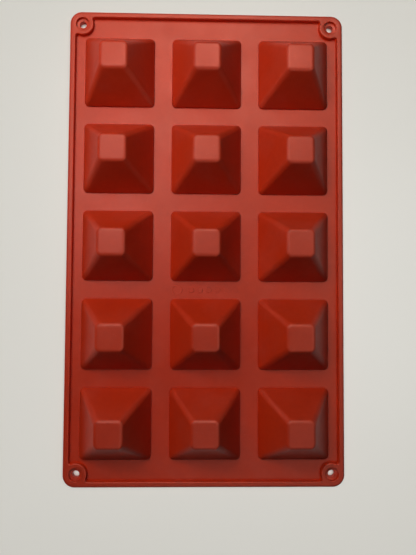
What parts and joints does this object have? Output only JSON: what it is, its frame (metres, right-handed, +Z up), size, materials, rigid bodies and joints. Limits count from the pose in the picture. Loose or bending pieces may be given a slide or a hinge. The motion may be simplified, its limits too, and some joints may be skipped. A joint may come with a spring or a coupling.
{
  "type": "resin casting mould",
  "caption": "Flexible silicone casting tray whose cavities are blunt square pyramids set in a flat deck, with a raised rim and a stepped hanging hole in each corner",
  "frame": {"origin": "centre of the tray's footprint, in the plane of the cavity mouths, on which it lies", "axes": "X across the tray, Y along its longer side, Z up out of the deck towards the crowns of the cups; the cavity mouths open towards -Z"},
  "size_m": [0.175, 0.3, 0.0245],
  "materials": {
    "silicone": "satin, slightly translucent brick red silicone rubber"
  },
  "bodies": {
    "root": {"corner_block_bottom_left": "silicone", "corner_block_bottom_right": "silicone", "corner_block_top_left": "silicone", "corner_block_top_right": "silicone", "cup_row1_col1": "silicone", "cup_row1_col2": "silicone", "cup_row1_col3": "silicone", "cup_row2_col1": "silicone", "cup_row2_col2": "silicone", "cup_row2_col3": "silicone", "cup_row3_col1": "silicone", "cup_row3_col2": "silicone", "cup_row3_col3": "silicone", "cup_row4_col1": "silicone", "cup_row4_col2": "silicone", "cup_row4_col3": "silicone", "cup_row5_col1": "silicone", "cup_row5_col2": "silicone", "cup_row5_col3": "silicone", "deck_margin_left": "silicone", "deck_margin_right": "silicone", "deck_strip_col1_col2": "silicone", "deck_strip_col2_col3": "silicone", "deck_webs_bottom_end": "silicone", "deck_webs_row1_row2": "silicone", "deck_webs_row2_row3": "silicone", "deck_webs_row3_row4": "silicone", "deck_webs_row4_row5": "silicone", "deck_webs_top_end": "silicone", "rim_rail_bottom": "silicone", "rim_rail_left": "silicone", "rim_rail_right": "silicone", "rim_rail_top": "silicone"}
  },
  "joints": []
}
